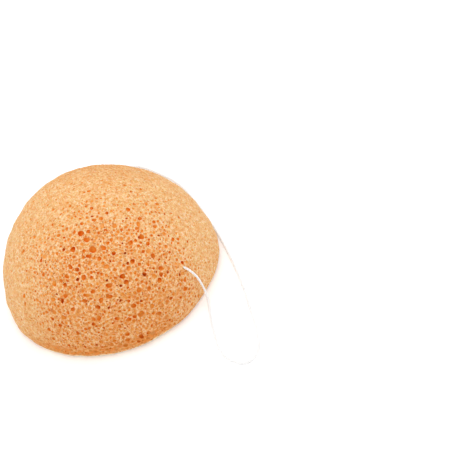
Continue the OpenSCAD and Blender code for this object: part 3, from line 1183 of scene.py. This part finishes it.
def dome_sheet(outline, tunnel, waves, rng):
    """The dome's mesh: places, tones, triangles, the edge ring and the two mouth rings."""
    *mouths, way = tunnel
    across = np.array([-way[1], way[0], 0])
    grid, found = fill_with_pores(outline, waves, rng, mouths)
    sheet = Sheet()

    edge_count = round(TURN * outline.edge_r / EDGE_STEP)
    sheet.ring(level_ways(turns_of(edge_count)) * outline.edge_rho)

    mouth_rings = []
    for mouth, out in zip(mouths, (way, -way)):
        for radius, depth, tone in MOUTH_RINGS:
            angle = turns_of(MOUTH_SIDES)
            aside = across * radius * np.cos(angle)[:, None]
            above = np.array([0, 0, radius]) * np.sin(angle)[:, None]
            spots = np.array([outline.spot_along(p, out) for p in mouth + aside + above])
            first = sheet.ring(spots, spots, depth, tone)
        mouth_rings.append([first + k for k in range(MOUTH_SIDES)])

    for pore, counts in found:
        sheet.add_pore(pore, counts)
    sheet.add(ground_points(outline, grid, mouths, rng))

    shape, depth, tone, faces = meshed(sheet)
    hole = [set(ring) for ring in mouth_rings]
    faces = [f for f in faces if not any(ring.issuperset(f) for ring in hole)]

    places, outward = outline.place(shape)
    relief = SKIN_RELIEF + (OPEN_RELIEF - SKIN_RELIEF) * coarseness(places, waves)
    relief_rng = np.random.default_rng(RELIEF_SEED)
    raised = bulge(places) + relief * Waves(RELIEF_SIZE, relief_rng).at(places)
    raised += RIPPLE * Waves(RIPPLE_SIZE, relief_rng).at(places)
    fade = smoothstep(places[:, 2], 0.0, RIM_FADE)
    depth = depth * (RIM_DEPTH_SHARE + (1 - RIM_DEPTH_SHARE) * fade)
    pull = np.zeros(places.shape)
    for mouth, out in zip(mouths, (way, -way)):
        share = np.exp(-(np.linalg.norm(places - mouth, axis=1) / MOUTH_SPREAD) ** 2)
        raised = raised * (1 - share)
        pull += share[:, None] * MOUTH_RISE * out
    lift = outward * raised[:, None]
    lift[:, 2] = np.where(outward[:, 2] < 0, 0, lift[:, 2])
    lift += pull
    moved = places + lift - outward * depth[:, None]
    moved[:, 2] = np.maximum(moved[:, 2], np.minimum(places[:, 2], LEAST_HEIGHT))
    moved[:edge_count, 2] = 0
    return moved, tone, places, faces, edge_count, mouth_rings


def base_sheet(edge, rng):
    """The flat face: fine pores in a plane inside the dome's edge ring."""
    grid = Grid()
    sheet = Sheet()
    reach = float(np.hypot(edge[:, 0], edge[:, 1]).min())
    sheet.ring(edge[:, :2])
    for small, large, tries, counts in BASE_KINDS:
        r = (reach - BASE_EDGE) * np.sqrt(rng.uniform(0, 1, tries))
        spots = level_ways(rng.uniform(0, TURN, tries)) * r[:, None]
        sizes = small + (large - small) * rng.uniform(0, 1, tries) ** BASE_SMALLER
        for spot, size in zip(spots, sizes):
            pore = Pore(spot, (*spot, 0.0), size, 1.0, rng.uniform(1, BASE_LONGEST),
                        rng.uniform(0, DRAWN_HALF_TURN), rng.uniform(*BASE_TONES), rng)
            if grid.takes(pore, WALL * BASE_WALL_SHARE):
                sheet.add_pore(pore, counts)
    step = GROUND_STEP * BASE_STEP_SHARE
    ticks = np.arange(-reach, reach, step)
    ground = [(x + (step / 2 if row % 2 else 0), y)
              for row, y in enumerate(ticks * BASE_ROW_SHARE) for x in ticks]
    ground = [np.array(p) + rng.uniform(-ROW_JITTER, ROW_JITTER, 2) for p in ground]
    ground = [p for p in ground if math.hypot(*p) < reach - BASE_MARGIN
              and grid.is_clear(p, (*p, 0.0), GROUND_MARGIN)]
    sheet.add(ground)
    shape, depth, tone, faces = meshed(sheet)
    return np.concatenate([shape, depth[:, None]], axis=1), tone, faces


def make_sponge(material, tunnel):
    """The foam body: dome, flat face and the tunnel that holds the cord, as one closed mesh."""
    rng = np.random.default_rng(SEED)
    low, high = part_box("sponge_body")
    outline = Outline((high.x - low.x) / 2 / MM, (high.z - low.z) / MM)
    waves = Waves(WANDER_SIZE, rng)
    dome, tone, plain, faces, edge_count, mouth_rings = dome_sheet(outline, tunnel, waves, rng)
    base, base_tone, base_faces = base_sheet(dome[:edge_count], rng)

    first = len(dome)
    faces += [tuple(i if i < edge_count else first + i - edge_count for i in face[::-1])
              for face in base_faces]
    vertices = np.vstack([dome, base[edge_count:]])
    tones = np.concatenate([tone, base_tone[edge_count:]])
    plain = np.vstack([plain, base[edge_count:]])

    front, back = mouth_rings
    rings = [front]
    for share in TUNNEL_RINGS:
        rings.append(len(vertices) + np.arange(MOUTH_SIDES))
        ring = vertices[front] * (1 - share) + vertices[back] * share
        vertices = np.vstack([vertices, ring])
        plain = np.vstack([plain, ring])
        # Painted shade: the tunnel's walls are near black
        tones = np.concatenate([tones, np.full(MOUTH_SIDES, TUNNEL_SHADE)])
    rings.append(back)
    for a, b in zip(rings[:-1], rings[1:]):
        for k in range(MOUTH_SIDES):
            m = (k + 1) % MOUTH_SIDES
            faces.append((a[k], b[k], b[m], a[m]))

    sponge = new_piece("foam_sponge", vertices * MM, faces, material)
    coarse = coarseness(plain, waves) * (plain[:, 2] > FACE_TOP)
    set_values(sponge, pore=tones, coarse=coarse, warm=warmth(plain, outline.edge_r))
    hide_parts("sponge_body")
    return sponge


def make_floor():
    half = FLOOR_SIZE / 2
    mesh = bpy.data.meshes.new("floor")
    corners = [(-half, -half), (half, -half), (half, half), (-half, half)]
    mesh.from_pydata([(x, y, -FLOOR_GAP) for x, y in corners], [], [(0, 1, 2, 3)])
    material = bpy.data.materials.new("floor")
    n = Nodes(material)
    path = n.add("ShaderNodeLightPath")
    glow = n.math("MULTIPLY", path.outputs["Is Camera Ray"], FLOOR_GLOW)
    n.surface(Base_Color=FLOOR_COLOUR, Roughness=0.9, Specular_IOR_Level=0.1,
              Emission_Color=(1, 1, 1, 1), Emission_Strength=glow)
    mesh.materials.append(material)
    floor = add_object("floor", mesh)


def make_world():
    """Even light from all round, seen as white where the camera looks past the floor."""
    world = bpy.data.worlds.new("studio")
    bpy.context.scene.world = world
    n = Nodes(world)
    path = n.add("ShaderNodeLightPath")
    seen = n.math("MAXIMUM", path.outputs["Is Camera Ray"], path.outputs["Is Glossy Ray"])
    seen = n.math("MAXIMUM", seen, path.outputs["Is Transmission Ray"])
    strength = n.add("ShaderNodeMapRange", Value=seen, To_Min=AMBIENT, To_Max=1.0)
    light = n.add("ShaderNodeBackground", Color=(1, 1, 1, 1),
                  Strength=strength.outputs["Result"])
    n.add("ShaderNodeOutputWorld", Surface=light.outputs["Background"])


def make_lamp(name, place, power, size):
    data = bpy.data.lights.new(name, "AREA")
    data.shape = "DISK"
    data.size = size
    data.energy = power
    lamp = add_object(name, data)
    lamp.location = place
    lamp.rotation_euler = (-Vector(place)).to_track_quat("-Z", "Y").to_euler()


make_camera()
tunnel = make_cord(cotton_material())
make_sponge(foam_material(), tunnel)
make_floor()
make_world()
make_lamp("key", KEY_PLACE, KEY_POWER, KEY_SIZE)
make_lamp("fill", FILL_PLACE, FILL_POWER, FILL_SIZE)
bpy.context.scene.view_settings.view_transform = "Standard"
